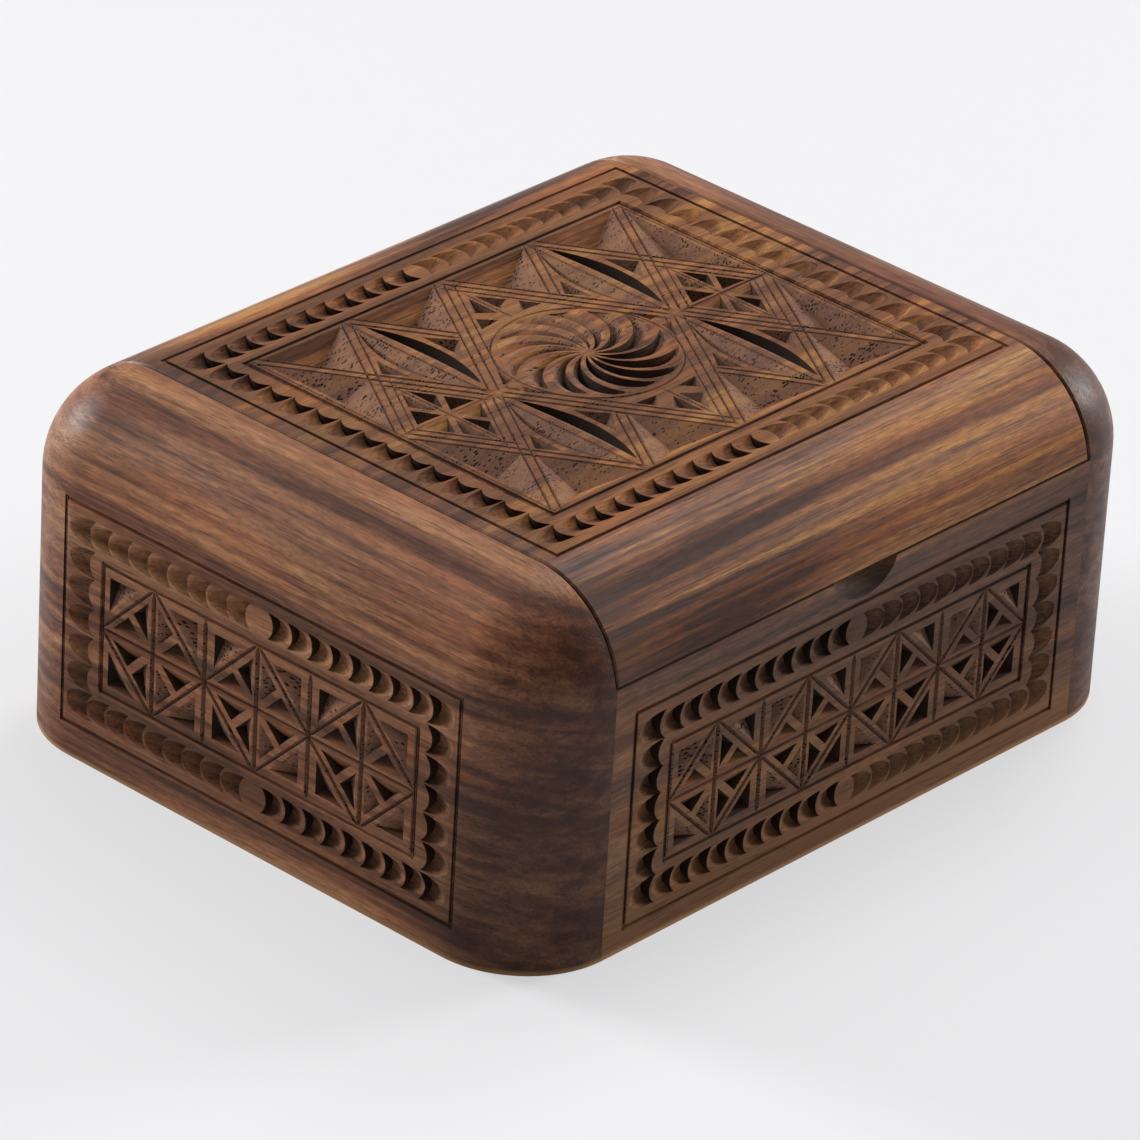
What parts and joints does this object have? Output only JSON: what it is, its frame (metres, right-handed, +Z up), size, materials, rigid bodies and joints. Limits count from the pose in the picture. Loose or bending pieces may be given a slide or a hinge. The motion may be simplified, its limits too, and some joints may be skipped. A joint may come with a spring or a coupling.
{
  "type": "carved wooden box",
  "caption": "Chip-carved walnut box with thick rounded end blocks and a thick lid that turns on hidden pins between them, with a thumb notch in the front edge.",
  "frame": {"origin": "centre of the underside, on the table", "axes": "+Z up, +X along the width from the left end block to the right one, front face at -Y, hinge along X at the back"},
  "size_m": [0.12, 0.097, 0.052],
  "materials": {
    "walnut_ends": "oiled, satin",
    "walnut_walls": "oiled, satin",
    "walnut_lid": "oiled, satin",
    "walnut_bottom": "planed, unfinished",
    "pin_brass": "drawn rod"
  },
  "bodies": {
    "case": {"left_end": "walnut_ends", "right_end": "walnut_ends", "front_wall": "walnut_walls", "back_wall": "walnut_walls", "bottom_panel": "walnut_bottom", "hinge_pin_left": "pin_brass", "hinge_pin_right": "pin_brass"},
    "lid": {"lid": "walnut_lid"}
  },
  "joints": [
    {"name": "lid_hinge", "type": "hinge", "parent": "case", "child": "lid", "pos_m": [0, 0.0395, 0.045], "axis": [-1, 0, 0], "range_deg": [0, 97]}
  ]
}
